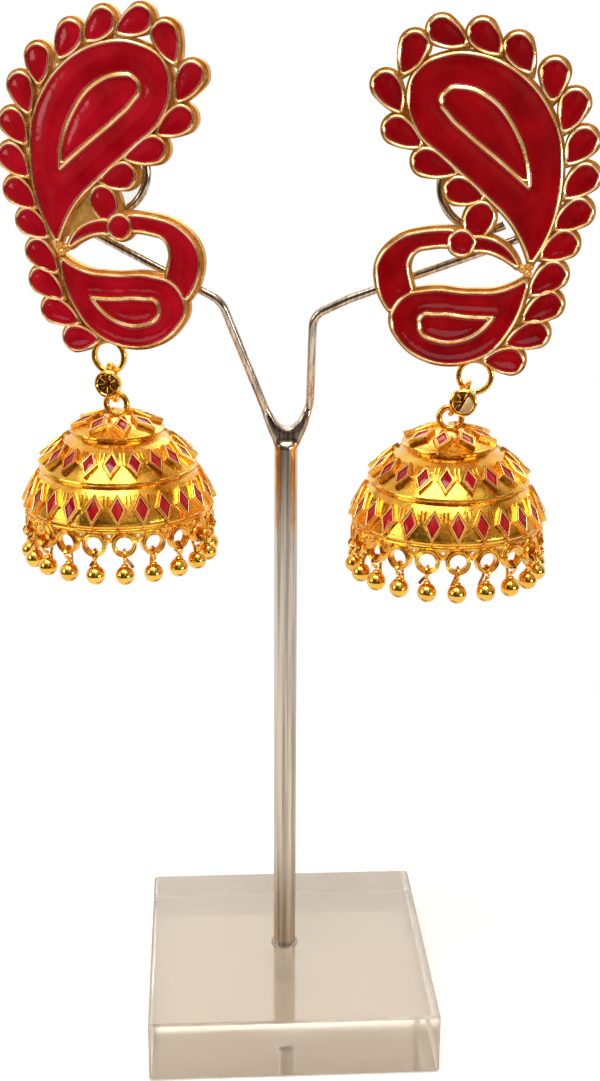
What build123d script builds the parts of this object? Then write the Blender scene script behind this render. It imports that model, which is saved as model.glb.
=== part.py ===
from build123d import *
from collections import namedtuple
import math
import os

# Pair of peacock jhumka earrings hanging on a two-armed display stand, in millimetres.
# Origin: centre of the base block's underside.  +Z is up, -Y faces the viewer, +X is to the right.
# Each earring is a cast gilt plate with enamel cells, a folded link, and a three-tier bell with its drops.

os.makedirs("parts", exist_ok=True)

# ---- stand -------------------------------------------------------------------------------------
BASE_SIDE = 50.0            # square acrylic block
BASE_HEIGHT = 11.2
BASE_EDGE = 0.4             # polished edge chamfer
POST_X = -0.6               # the post stands a little off the block's centre
POST_RADIUS = 1.95
SOCKET_RADIUS = 2.0
SOCKET_FLOOR = 4.8          # height of the blind socket's floor
POST_TOP = 105.4            # where the round post starts to flatten into the fork
FORK_TOP = 109.1            # saddle between the two arms
FORK_HALF_WIDTH = 2.75
FORK_HALF_DEPTH = 0.9
ARM_RADIUS = 0.7
FORK_STUB_RADIUS = 0.95     # braze round each arm's root
LOOP_RADIUS = 6.75          # centre line of the open loop at the end of each arm
LOOP_CENTRE = (0.2, 29.5)   # in the plate's own x and y
LOOP_SWEEP = 300.0          # degrees of wire in the loop
LOOP_BEHIND = 1.8           # loop's wire behind the plate's middle plane

# ---- peacock plate (own frame: origin at the bottom ring's centre, x across, y up, z to the viewer) --
PLATE_BACK = -0.95
POCKET_FLOOR = 0.6          # heights above the back
FLANGE_HEIGHT = 1.2
RIM_HEIGHT = 1.9
ENAMEL_HEIGHT = 1.75
FLANGE_MARGIN = 0.75        # flange beyond each cell
RIM_WIDTH = 0.4             # raised rim round each cell
DIVIDER_HALF = 0.3          # half the width of the two inner wires
FIT_GAP = 0.05              # enamel to metal
PETAL_WIDTH = 3.7
RING_HOLE = 2.15
RING_OUTER = 3.0
RING_THICK = 1.1
RING_WIRE = (RING_HOLE + RING_OUTER) / 2
POST_PIN_RADIUS = 0.45      # soldered ear post
POST_PIN_END = -9.5
DISC_RADIUS = 6.6           # clear comfort disc
DISC_THICK = 0.9
CLUTCH_RADIUS = 2.7
CLUTCH_LENGTH = 3.2
PIN_BORE = 0.5

# ---- link ----------------------------------------------------------------------------------------
LINK_WIRE = 0.45            # wire radius
LINK_BEND = 1.2             # centre-line radius of its two round ends
LINK_SPAN = 3.55            # between the centres of its two ends
HEAD_RADIUS = 2.25
HEAD_BACK = 1.0             # head's back, in front of the link's middle plane
HEAD_DEPTH = 1.5
HEAD_DOWN = 1.65            # head's centre below the upper end's centre
HEAD_HOLLOW = 1.45

# ---- bell (own frame: origin on its axis at the lip of the lowest tier, z up) -------------------
BELL_RING_Z = 17.1          # centre of the upright top ring
BELL_RING_WIRE = 0.5
BELL_RING_MAJOR = 1.8
BELL_HANG = 0.7             # ring's centre below the link's lower wire
LIP_RINGS = 20
LIP_RING_Z = -2.2
LIP_RING_AT = 15.0          # radius of the circle that the rings stand on
LIP_RING_OUTER = 2.0
LIP_RING_HOLE = 1.35
LIP_RING_THICK = 1.0
SKIRT_LOW = -1.75           # bottom of the webs between the rings
SETTING_BORDER = 0.42
SETTING_DEPTH = 0.85
SETTING_POCKET = 0.35
DROP_BALL = 1.55
DROP_BALL_Z = -7.4
HOOK_Z = -4.0
HOOK_RADIUS = 1.0
HOOK_WIRE = 0.25

# ---- one row for each earring -------------------------------------------------------------------
# ring_centre: centre of the plate's bottom ring; yaw: turn of the plate about Z; foot: where the link
# sits on that ring, degrees from its lowest point toward +x; tilt: lean of the link in the plate's plane,
# degrees toward +x; head_shift: head's centre to the side of the link; bell_turn: first lip ring, degrees from the front
Earring = namedtuple("Earring", "name ring_centre yaw mirrored foot tilt head_shift bell_turn pierced slit")
EARRINGS = [
    Earring("left", (-29.37, 0.6, 121.0), -19.0, True, 6.0, 9.0, -0.15, 24.0, False, False),
    Earring("right", (28.89, -10.2, 119.76), -12.0, False, -33.0, -28.5, 0.7, 29.0, True, True),
]

# Each arm: points from the fork (stand frame), then points in its loop's plane (plate x and y), with the
# bend radius at every point between the first and the last
Arm = namedtuple("Arm", "name stand_points plane_points bends")
ARMS = [
    Arm("left", [(-3.1, -0.16, 109.7)],
        [(-18.6, 9.8), (6.95, 21.4), (6.95, 29.5)], [3.6, 3.2]),
    Arm("right", [(2.35, -0.08, 110.1), (3.3, -0.35, 113.0)],
        [(-26.3, 8.4), (-20.5, 11.3), (6.95, 22.0), (6.95, 29.5)], [7.0, 3.2, 14.0, 3.2]),
]

# ---- outlines of the enamel cells: x, y; the first point is a sharp tip --------------------------
TAIL = [(7.9, 18.4), (5.2, 24.0), (0.1, 29.1), (-5.1, 33.5), (-9.9, 37.9), (-11.5, 42.3), (-10.2, 46.7),
        (-5.6, 49.0), (0.3, 48.6), (6.5, 45.0), (10.5, 39.1), (11.7, 30.9), (10.2, 22.6)]
TAIL_WIRE = [(7.0, 29.9), (2.5, 33.6), (-2.2, 37.3), (-5.3, 40.1), (-6.7, 42.4), (-5.5, 44.2),
             (-3.2, 44.4), (1.4, 42.4), (4.5, 38.6), (6.6, 33.4)]
BODY = [(7.3, 15.5), (3.4, 13.6), (-1.3, 13.2), (-7.6, 13.4), (-11.6, 12.2), (-13.3, 8.8), (-11.4, 5.0),
        (-7.2, 2.5), (-2.5, 2.3), (2.2, 4.4), (5.3, 8.4)]
BODY_WIRE = [(2.4, 9.6), (-1.2, 9.6), (-5.9, 9.9), (-8.9, 9.3), (-9.0, 7.5), (-5.7, 5.5), (-2.6, 5.7),
             (0.5, 7.4)]
NECK = [(-13.6, 10.3), (-15.3, 13.2), (-15.5, 17.9), (-12.5, 21.3), (-7.8, 22.7), (-2.8, 22.7),
        (-2.8, 20.4), (-7.2, 20.6), (-10.4, 19.5), (-11.3, 17.2), (-10.9, 14.9), (-10.1, 12.4)]
NECK_CORNERS = (0, 5, 6, 11)
BEAK = [(5.9, 17.7), (4.3, 20.2), (1.9, 21.6), (-2.0, 21.7), (-2.0, 19.8), (0.8, 20.1), (3.6, 19.2)]
BEAK_CORNERS = (0, 3, 4)
CREST = [(-1.2, 21.8), (0.8, 22.9), (1.8, 25.1), (0.9, 27.0), (-0.9, 27.0), (-2.2, 25.2), (-2.2, 23.2)]
HEAD_CENTRE = (-2.8, 21.1)
HEAD_CELL = 1.75
CREST_FILL = [(-2.0, 20.5), (4.6, 19.5), (8.6, 18.6), (5.0, 23.0), (0.9, 28.0)]

Petal = namedtuple("Petal", "tip_x tip_y length direction")
PETALS = [Petal(*row) for row in [
    (1.5, 2.8, 5.8, 1), (4.8, 5.5, 6.5, 23), (7.3, 9.3, 6.4, 36), (8.2, 13.5, 6.3, 44),
    (9.6, 19.2, 5.8, 34), (11.5, 23.7, 6.0, 38), (12.6, 28.5, 6.0, 46), (12.7, 33.6, 5.8, 55),
    (11.9, 38.3, 6.1, 71), (10.0, 42.8, 5.7, 89), (6.5, 46.8, 5.8, 120), (1.8, 49.4, 5.7, 134),
    (-3.3, 50.7, 5.9, 153), (-12.5, 46.3, 6.2, 68), (-12.8, 40.7, 6.3, 121), (-9.6, 35.7, 6.2, 148),
    (-4.1, 31.8, 6.7, 162), (0.1, 28.1, 5.7, 165)]]

# ---- rhombus settings on the bell: radius and height of the face's centre, the face's lean from
# upright, the enamel's width and height, how many, and the first one's angle from the first lip ring
Tier = namedtuple("Tier", "radius z lean width height count turn")
TIERS = [
    Tier(5.2, 14.65, 66.0, 1.7, 3.3, 8, 6.5),
    Tier(10.95, 9.7, 42.0, 1.6, 3.1, 19, -8.0),
    Tier(14.6, 3.35, 23.0, 1.8, 3.0, 24, -3.5),
]


def unit(vector):
    length = math.hypot(*vector)
    return tuple(value / length for value in vector)


def circle_tangent(before, point, after):
    """Direction at point of the circle through three neighbours."""
    first = (point[0] - before[0], point[1] - before[1])
    second = (after[0] - point[0], after[1] - point[1])
    a, b = math.hypot(*first), math.hypot(*second)
    return unit((first[0] * b / a + second[0] * a / b, first[1] * b / a + second[1] * a / b))


def reflected(direction, start, end):
    """Direction at the far end of the arc that leaves start along direction and reaches end."""
    chord = unit((end[0] - start[0], end[1] - start[1]))
    along = 2 * (direction[0] * chord[0] + direction[1] * chord[1])
    return (along * chord[0] - direction[0], along * chord[1] - direction[1])


def arc_edge(start, direction, end):
    chord = unit((end[0] - start[0], end[1] - start[1]))
    if abs(direction[0] * chord[1] - direction[1] * chord[0]) < 1e-3:
        return Edge.make_line((*start, 0), (*end, 0))
    return Edge.make_tangent_arc((*start, 0), (*direction, 0), (*end, 0))


def upward(face):
    """The same face with its normal along +z, so that flat unions merge."""
    return face if face.normal_at().Z > 0 else -face


def smooth_cell(points, corners=(0,)):
    """Closed face through a few points, with two tangent arcs from each point to the next."""
    count = len(points)
    leave, arrive = [None] * count, [None] * count
    for i in range(count):
        if i not in corners:
            leave[i] = arrive[i] = circle_tangent(points[i - 1], points[i], points[(i + 1) % count])
    for i in corners:
        nxt, prev = (i + 1) % count, (i - 1) % count
        straight = unit((points[nxt][0] - points[i][0], points[nxt][1] - points[i][1]))
        leave[i] = reflected(arrive[nxt], points[nxt], points[i]) if arrive[nxt] else straight
        if arrive[nxt]:
            leave[i] = (leave[i][0], leave[i][1])
        back = unit((points[i][0] - points[prev][0], points[i][1] - points[prev][1]))
        arrive[i] = reflected(leave[prev], points[prev], points[i]) if prev not in corners else back
    for i in corners:
        nxt = (i + 1) % count
        if nxt in corners:
            leave[i] = unit((points[nxt][0] - points[i][0], points[nxt][1] - points[i][1]))
    edges = []
    for i in range(count):
        start, end = points[i], points[(i + 1) % count]
        t0, t1 = leave[i], arrive[(i + 1) % count]
        chord = (end[0] - start[0], end[1] - start[1])
        size = chord[0] ** 2 + chord[1] ** 2
        along = chord[0] * (t0[0] + t1[0]) + chord[1] * (t0[1] + t1[1])
        spread = 2 * (1 - t0[0] * t1[0] - t0[1] * t1[1])
        if spread < 1e-6:
            edges.append(arc_edge(start, t0, end))
            continue
        reach = (math.sqrt(along ** 2 + spread * size) - along) / spread
        middle = ((start[0] + end[0] + reach * (t0[0] - t1[0])) / 2,
                  (start[1] + end[1] + reach * (t0[1] - t1[1])) / 2)
        edges.append(arc_edge(start, t0, middle))
        edges.append(arc_edge(middle, reflected(t0, start, middle), end))
    return upward(Face(Wire(edges)))


def petal_cell(petal, grow=0.0):
    """Teardrop: a sharp tip, two full sides and a round end."""
    radius = PETAL_WIDTH / 2 + grow
    tip = -grow * 1.7
    centre = petal.length - PETAL_WIDTH / 2
    shoulder = centre * 0.52
    bulge = radius * 0.80
    lower = ThreePointArc((tip, 0), (shoulder, -bulge), (centre, -radius))
    end = ThreePointArc((centre, -radius), (centre + radius, 0), (centre, radius))
    upper = ThreePointArc((centre, radius), (shoulder, bulge), (tip, 0))
    face = upward(Face(Wire([*lower.edges(), *end.edges(), *upper.edges()])))
    return Pos(petal.tip_x, petal.tip_y) * Rot(0, 0, petal.direction) * face


def grown(face, amount):
    """The face with its outline moved outward (or inward) all round."""
    return Sketch() + [upward(part) for part in offset(Sketch() + face, amount=amount).faces()]


def disc_at(centre, radius):
    return Pos(*centre) * Circle(radius)


def prism(sketch, height):
    """Sketch pushed up along +z."""
    return extrude(Sketch() + sketch, amount=height, dir=(0, 0, 1))


def cleared(sketch, smallest=0.05):
    """The sketch without the crumbs that cutting leaves between two close outlines."""
    return Sketch() + [face for face in sketch.faces() if face.area > smallest]


def raised(sketch, low, high):
    """Prism of a sketch between two heights above the plate's back."""
    return Pos(0, 0, PLATE_BACK + low) * prism(sketch, high - low)


def plate_cells():
    """Every enamel cell, its rim area and its flange area, as three lists of faces."""
    tail, body = smooth_cell(TAIL), smooth_cell(BODY)
    tail_wire, body_wire = smooth_cell(TAIL_WIRE), smooth_cell(BODY_WIRE)
    head = disc_at(HEAD_CENTRE, HEAD_CELL)
    head_rim = disc_at(HEAD_CENTRE, HEAD_CELL + RIM_WIDTH)
    neck = smooth_cell(NECK, NECK_CORNERS)
    beak = smooth_cell(BEAK, BEAK_CORNERS)
    crest = smooth_cell(CREST, ())
    tail_rim, body_rim = grown(tail, RIM_WIDTH), grown(body, RIM_WIDTH)
    petals = [(petal_cell(petal) - tail_rim - body_rim).faces().sort_by(SortBy.AREA)[-1] for petal in PETALS]
    cells = [
        tail - grown(tail_wire, DIVIDER_HALF), grown(tail_wire, -DIVIDER_HALF),
        body - grown(body_wire, DIVIDER_HALF), grown(body_wire, -DIVIDER_HALF),
        head, neck - head_rim - body_rim, beak - head_rim, crest - head_rim - grown(beak, RIM_WIDTH),
        *petals]
    whole = [tail, body, neck, beak, crest, head]
    rims = [*[grown(face, RIM_WIDTH) for face in whole], *[petal_cell(p, RIM_WIDTH) for p in PETALS]]
    flanges = [*[grown(face, FLANGE_MARGIN) for face in whole],
               *[petal_cell(p, FLANGE_MARGIN) for p in PETALS]]
    return cells, rims, flanges


def plate_parts(pierced, slit):
    """The cast plate and the enamel in its cells, in the plate's own frame."""
    cells, rims, flanges = plate_cells()
    flange = Sketch() + flanges
    if not pierced:
        flange += Sketch() + upward(Face(Wire(Polyline([*CREST_FILL, CREST_FILL[0]]).edges())))
    opening = disc_at((0, 0), RING_HOLE)
    flange = flange - opening
    pockets = Sketch() + cells
    casting = raised(flange, 0, POCKET_FLOOR)
    casting += raised(cleared(flange - pockets), POCKET_FLOOR, FLANGE_HEIGHT)
    casting += raised(cleared((Sketch() + rims) - pockets - opening), FLANGE_HEIGHT, RIM_HEIGHT)
    ring = extrude(Circle(RING_OUTER) - Circle(RING_HOLE), amount=RING_THICK / 2, both=True)
    ring = fillet(ring.edges(), 0.3) - raised(pockets, POCKET_FLOOR, RIM_HEIGHT + 1)
    if slit:
        ring -= Rot(0, 0, 2) * Pos(0, -RING_WIRE) * Box(0.3, 2, 3)
    pin_length = PLATE_BACK - POST_PIN_END + 0.3
    pin = Pos(*LOOP_CENTRE, POST_PIN_END + pin_length / 2) * Cylinder(POST_PIN_RADIUS, pin_length)
    pin = fillet(pin.edges().sort_by(Axis.Z)[:1], 0.2)
    casting = casting + ring + pin
    floor, top = POCKET_FLOOR + FIT_GAP, ENAMEL_HEIGHT
    fills = []
    for cell in cells:
        for face in (Sketch() + cell).faces():
            fills.append(raised(grown(face, -FIT_GAP), floor, top))
    return casting, Part() + fills


def placed(shape, location, mirrored=False):
    shape = mirror(shape, about=Plane.YZ) if mirrored else shape
    return location * shape


def plate_frame(earring):
    yaw = math.radians(earring.yaw)
    return Plane(origin=earring.ring_centre, x_dir=(math.cos(yaw), math.sin(yaw), 0),
                 z_dir=(math.sin(yaw), -math.cos(yaw), 0))


def link_ends(earring):
    """Upper end's centre, direction to the lower end and the lower wire's centre, in the plate frame."""
    foot, tilt = math.radians(earring.foot), math.radians(earring.tilt)
    top = Vector(RING_WIRE * math.sin(foot), -RING_WIRE * math.cos(foot), 0)
    down = Vector(math.sin(tilt), -math.cos(tilt), 0)
    return top, down, top + down * (LINK_SPAN + LINK_BEND)


def bell_frame(earring):
    """Frame of the bell: it hangs plumb below the link's lower wire."""
    plane = plate_frame(earring)
    ring = link_ends(earring)[2] - Vector(0, BELL_HANG + BELL_RING_Z, 0)
    return Plane(origin=plane.from_local_coords(ring), x_dir=plane.x_dir, z_dir=(0, 0, 1))


def ear_disc():
    """Clear comfort disc on the ear post, behind the stand's loop."""
    front = -LOOP_BEHIND - ARM_RADIUS - 0.03
    disc = Pos(*LOOP_CENTRE, front - DISC_THICK / 2) * Cylinder(DISC_RADIUS, DISC_THICK)
    disc = fillet(disc.edges(), 0.3)
    return disc - Pos(*LOOP_CENTRE, front) * Cylinder(PIN_BORE, 4)


def ear_clutch():
    """Turned clutch on the ear post: a flange against the disc, a waist and a domed end."""
    front = -LOOP_BEHIND - ARM_RADIUS - 0.03 - DISC_THICK - 0.03
    outline = Polyline((PIN_BORE, 0), (CLUTCH_RADIUS, 0), (CLUTCH_RADIUS, -0.7), (1.7, -1.0),
                       (1.7, -2.3), (2.0, -CLUTCH_LENGTH), (PIN_BORE, -CLUTCH_LENGTH), (PIN_BORE, 0))
    body = revolve(Plane.XZ * make_face(outline), axis=Axis.Z)
    return Pos(*LOOP_CENTRE, front) * body


def link(earring):
    """Racetrack of round wire through both rings, with a clawed round head in front."""
    top, down, _ = link_ends(earring)
    out = Vector(0, 0, 1)

    def point(along, front):
        return top + down * along + out * front

    far = LINK_SPAN + LINK_BEND
    track = [
        Edge.make_line(point(0, LINK_BEND), point(LINK_SPAN, LINK_BEND)),
        Edge.make_three_point_arc(point(LINK_SPAN, LINK_BEND), point(far, 0), point(LINK_SPAN, -LINK_BEND)),
        Edge.make_line(point(LINK_SPAN, -LINK_BEND), point(0, -LINK_BEND)),
        Edge.make_three_point_arc(point(0, -LINK_BEND), point(-LINK_BEND, 0), point(0, LINK_BEND))]
    section = Plane(origin=point(0, LINK_BEND), z_dir=down) * Circle(LINK_WIRE)
    wire = sweep(section, path=Wire(track))
    base_up = (Align.CENTER, Align.CENTER, Align.MIN)
    cup = Cylinder(HEAD_RADIUS, HEAD_DEPTH, align=base_up)
    cup = fillet(cup.edges(), 0.55)
    cup -= Pos(0, 0, HEAD_DEPTH - 0.65) * Cylinder(HEAD_HOLLOW, 2, align=base_up)
    for turn in (45, 135, 225, 315):
        cup += Rot(0, 0, turn) * Pos(HEAD_HOLLOW - 0.2, 0, HEAD_DEPTH - 0.3) * Box(0.9, 0.5, 0.45)
    side = -down.cross(out)
    centre = top + down * HEAD_DOWN
    head = Plane(origin=centre + side * earring.head_shift + out * HEAD_BACK, x_dir=side, z_dir=out) * cup
    stalk = Plane(origin=centre + out * LINK_BEND, z_dir=out) * Cylinder(0.55, 0.5)
    return wire + head + stalk


def crown_arc(top, radius, low):
    """Arc from the axis down to a radius, with its centre on the axis."""
    drop_height = top - low
    sphere = (radius ** 2 + drop_height ** 2) / (2 * drop_height)
    half = math.asin(radius / sphere) / 2
    return ThreePointArc((0, top), (sphere * math.sin(half), top - sphere + sphere * math.cos(half)),
                         (radius, low))


def bell_shell():
    """Turned three-tier dome, hollow below."""
    outline = [
        crown_arc(15.2, 7.67, 13.2),
        Polyline((7.67, 13.2), (7.67, 12.8), (7.15, 12.4), (7.5, 12.0)),
        ThreePointArc((7.5, 12.0), (10.6, 9.85), (12.99, 7.25)),
        Polyline((12.99, 7.25), (12.99, 6.85), (12.4, 6.4), (12.75, 6.0)),
        ThreePointArc((12.75, 6.0), (14.35, 3.7), (15.43, 1.2)),
        Polyline((15.43, 1.2), (15.43, 0.75), (15.1, 0.55), (15.35, 0.3), (15.3, 0), (14.3, 0),
                 (14.2, 1.0)),
        ThreePointArc((14.2, 1.0), (13.3, 3.6), (11.9, 6.1)),
        ThreePointArc((11.9, 6.1), (9.6, 9.4), (6.6, 12.2)),
        crown_arc(14.2, 6.6, 12.2),
        Line((0, 14.2), (0, 15.2))]
    edges = [edge for curve in outline for edge in curve.edges()]
    return revolve(Plane.XZ * Face(Wire(edges)), axis=Axis.Z)


def around(radius, z, turn, lean):
    """Plane on the bell's outside, facing out and leaning back from upright by lean degrees."""
    angle, rise = math.radians(turn), math.radians(lean)
    return Plane(origin=(radius * math.sin(angle), -radius * math.cos(angle), z),
                 x_dir=(math.cos(angle), math.sin(angle), 0),
                 z_dir=(math.cos(rise) * math.sin(angle), -math.cos(rise) * math.cos(angle), math.sin(rise)))


def rhombus(width, height):
    half_w, half_h = width / 2, height / 2
    return make_face(Polyline((half_w, 0), (0, half_h), (-half_w, 0), (0, -half_h), (half_w, 0)))


def bell_parts():
    """The cast bell with its settings and lip rings, and the enamel in the settings."""
    raised_settings, pockets, fills = [], [], []
    for tier in TIERS:
        outer = rhombus(tier.width + 2 * SETTING_BORDER * 1.25, tier.height + 2 * SETTING_BORDER * 1.5)
        inner = rhombus(tier.width, tier.height)
        fill = rhombus(tier.width - 0.12, tier.height - 0.16)
        for i in range(tier.count):
            plane = around(tier.radius, tier.z, tier.turn + 360 / tier.count * i, tier.lean)
            raised_settings.append(plane * Pos(0, 0, -SETTING_DEPTH) * prism(outer, SETTING_DEPTH))
            pockets.append(plane * Pos(0, 0, -SETTING_POCKET) * prism(inner, 1))
            fills.append(plane * Pos(0, 0, -SETTING_POCKET + 0.03) * prism(fill, SETTING_POCKET - 0.08))
    rings, holes = [], []
    for i in range(LIP_RINGS):
        step = 360 / LIP_RINGS * i
        plane = around(LIP_RING_AT, LIP_RING_Z, step, 0)
        rings.append(plane * extrude(Circle(LIP_RING_OUTER), amount=LIP_RING_THICK / 2, both=True))
        holes.append(plane * extrude(Circle(LIP_RING_HOLE), amount=2, both=True))
        notch = around(LIP_RING_AT, -0.72, step + 180 / LIP_RINGS, 0)
        holes.append(notch * extrude(Triangle(a=0.8, b=0.8, c=0.8, rotation=180), amount=2, both=True))
    skirt = Pos(0, 0, SKIRT_LOW) * extrude(Circle(15.3) - Circle(14.7), amount=-SKIRT_LOW + 0.1)
    casting = (bell_shell() + raised_settings) - pockets
    casting = (casting + [skirt] + rings) - holes
    return casting, Part() + fills


def bell_top_ring():
    """Upright ring soldered to the bell's crown, square to the link."""
    return Pos(0, 0, BELL_RING_Z) * Rot(90, 0, 0) * Torus(BELL_RING_MAJOR, BELL_RING_WIRE)


def drop(turn):
    """Ball on a short stem, hung by its own hook through one lip ring."""
    hook = Rot(0, 90, 0) * Torus(HOOK_RADIUS, HOOK_WIRE)
    low = DROP_BALL_Z + DROP_BALL
    stem = Pos(0, 0, (HOOK_Z - HOOK_RADIUS + low) / 2 - HOOK_Z) * Cylinder(
        HOOK_WIRE, HOOK_Z - HOOK_RADIUS - low + 0.3)
    cap = Pos(0, 0, low - HOOK_Z) * Cylinder(0.6, 0.35)
    ball = Pos(0, 0, DROP_BALL_Z - HOOK_Z) * Sphere(DROP_BALL)
    piece = hook + stem + cap + ball
    angle = math.radians(turn)
    return Pos(LIP_RING_AT * math.sin(angle), -LIP_RING_AT * math.cos(angle), HOOK_Z) * Rot(0, 0, turn) * piece


def stand_base():
    block = Box(BASE_SIDE, BASE_SIDE, BASE_HEIGHT, align=(Align.CENTER, Align.CENTER, Align.MIN))
    block = chamfer(block.edges(), BASE_EDGE)
    return block - Pos(POST_X, 0, SOCKET_FLOOR) * Cylinder(
        SOCKET_RADIUS, BASE_HEIGHT, align=(Align.CENTER, Align.CENTER, Align.MIN))


def arm_path(arm, earring):
    """Fork end to the open end of the loop, as one smooth wire."""
    plane = plate_frame(earring)
    sign = -1 if earring.mirrored else 1
    points = [Vector(point) for point in arm.stand_points]
    points += [plane.from_local_coords(Vector(sign * x, y, -LOOP_BEHIND)) for x, y in arm.plane_points]
    run = FilletPolyline(*points, radius=arm.bends)
    cx, cy = LOOP_CENTRE

    def on_loop(degrees):
        angle = math.radians(degrees)
        x, y = cx + LOOP_RADIUS * math.cos(angle), cy + LOOP_RADIUS * math.sin(angle)
        return plane.from_local_coords(Vector(sign * x, y, -LOOP_BEHIND))

    first = ThreePointArc(on_loop(0), on_loop(LOOP_SWEEP / 4), on_loop(LOOP_SWEEP / 2))
    second = ThreePointArc(on_loop(LOOP_SWEEP / 2), on_loop(LOOP_SWEEP * 3 / 4), on_loop(LOOP_SWEEP))
    return Wire([*run.edges(), *first.edges(), *second.edges()])


def stand_arm(arm, earring):
    path = arm_path(arm, earring)
    start = path.position_at(0)
    if (start - Vector(arm.stand_points[0])).length > 0.01:
        path = Wire([edge for edge in path.edges()][::-1])
    section = Plane(origin=path @ 0, z_dir=path % 0) * Circle(ARM_RADIUS)
    return sweep(section, path=path), path


def stand_post(paths):
    """Round post that flattens at its top into the fork that carries the two arms."""
    height = POST_TOP - SOCKET_FLOOR
    post = Pos(POST_X, 0, SOCKET_FLOOR) * Cylinder(
        POST_RADIUS, height, align=(Align.CENTER, Align.CENTER, Align.MIN))
    post = chamfer(post.edges().group_by(Axis.Z)[0], 0.2)
    lower = Pos(POST_X, 0, POST_TOP) * Circle(POST_RADIUS)
    upper = Pos(POST_X + 0.1, 0, FORK_TOP) * Ellipse(FORK_HALF_WIDTH, FORK_HALF_DEPTH)
    fork = loft([lower.face(), upper.face()])
    piece = post + fork
    for path in paths:
        root = Plane(origin=path @ 0, z_dir=(path % 0))
        piece += root * Pos(0, 0, -1.5) * Cone(FORK_STUB_RADIUS, ARM_RADIUS, 3.0)
    return piece


NODES = {}
PATHS = []
for arm_row, earring_row in zip(ARMS, EARRINGS):
    wire_arm, wire_path = stand_arm(arm_row, earring_row)
    NODES[arm_row.name + "_arm"] = wire_arm
    PATHS.append(wire_path)
NODES["stand_base"] = stand_base()
NODES["stand_post"] = stand_post(PATHS)
bell, bell_enamel = bell_parts()
for row in EARRINGS:
    here = plate_frame(row).location
    plate, enamel = plate_parts(row.pierced, row.slit)
    NODES[row.name + "_plate"] = placed(plate, here, row.mirrored)
    NODES[row.name + "_plate_enamel"] = placed(enamel, here, row.mirrored)
    NODES[row.name + "_comfort_disc"] = placed(ear_disc(), here, row.mirrored)
    NODES[row.name + "_clutch"] = placed(ear_clutch(), here, row.mirrored)
    NODES[row.name + "_link"] = here * link(row)
    hang = bell_frame(row).location
    turned = hang * Rot(0, 0, row.bell_turn)
    NODES[row.name + "_bell"] = turned * bell + hang * bell_top_ring()
    NODES[row.name + "_bell_enamel"] = turned * bell_enamel
    for i in range(LIP_RINGS):
        NODES[f"{row.name}_drop_{i + 1:02d}"] = hang * drop(row.bell_turn + 360 / LIP_RINGS * i)

for name, shape in NODES.items():
    solids = shape.solids()
    export_step(solids[0] if len(solids) == 1 else Compound(solids), f"parts/{name}.step")
    print(f"{name}: {len(solids)} solid(s), {sum(s.volume for s in solids):.1f} mm3")

for row in EARRINGS:
    here = plate_frame(row)
    top, _, low = link_ends(row)
    hang = bell_frame(row).origin
    print(row.name, "link hinge", here.from_local_coords(top), "bell hinge", here.from_local_coords(low),
          "bell origin", hang, "across", here.x_dir, "out", here.z_dir)
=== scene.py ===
"""Looks for the pair of peacock jhumka earrings on their wire display stand.

Each sub-assembly is a class that holds its sizes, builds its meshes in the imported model's own
frame and dresses them. Each finish is a frozen dataclass named for the real material. A size is
in millimetres where it is a plain number, and in metres where it is written with MM.
"""

import logging
import math
import random
from collections.abc import Callable, Iterator
from dataclasses import dataclass
from enum import Enum
from functools import partial

import bmesh
import bpy
from mathutils import Matrix, Vector, noise
from mathutils.kdtree import KDTree

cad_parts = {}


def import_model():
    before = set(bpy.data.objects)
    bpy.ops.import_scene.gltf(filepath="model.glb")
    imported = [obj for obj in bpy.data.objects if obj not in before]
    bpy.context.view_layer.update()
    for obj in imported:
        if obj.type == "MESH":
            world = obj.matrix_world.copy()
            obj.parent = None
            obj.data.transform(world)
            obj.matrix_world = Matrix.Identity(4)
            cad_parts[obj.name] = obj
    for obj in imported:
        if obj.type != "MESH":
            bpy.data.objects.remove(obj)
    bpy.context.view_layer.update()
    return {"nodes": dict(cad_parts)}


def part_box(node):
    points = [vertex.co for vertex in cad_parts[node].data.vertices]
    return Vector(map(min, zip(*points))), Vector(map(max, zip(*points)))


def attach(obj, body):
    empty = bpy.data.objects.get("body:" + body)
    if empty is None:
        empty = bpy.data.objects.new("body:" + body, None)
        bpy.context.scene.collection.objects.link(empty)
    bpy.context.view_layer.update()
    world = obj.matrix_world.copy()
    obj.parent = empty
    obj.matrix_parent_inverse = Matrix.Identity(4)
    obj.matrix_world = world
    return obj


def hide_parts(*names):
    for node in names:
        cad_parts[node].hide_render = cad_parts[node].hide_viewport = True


LOG = logging.getLogger("jhumka")
MM = 0.001

Mesh = bmesh.types.BMesh
Material = bpy.types.Material
Node = bpy.types.Node
AddNode = Callable[..., Node]
Socket = bpy.types.NodeSocket
Tree = bpy.types.NodeTree
Point = tuple[float, float, float]
Loop = list[tuple[Vector, Vector]]


# --- nodes and finishes ---
def linear(code: str) -> tuple[float, float, float, float]:
    """Turns an sRGB hex colour into the linear colour that the shader takes.

    Args:
        code: six hex digits, such as "C8102E".

    Returns:
        Red, green, blue and alpha, in linear light.
    """
    channels = [int(code[i:i + 2], 16) / 255 for i in (0, 2, 4)]
    curve = [c / 12.92 if c <= 0.04045 else ((c + 0.055) / 1.055) ** 2.4 for c in channels]
    return (*curve, 1.0)


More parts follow.
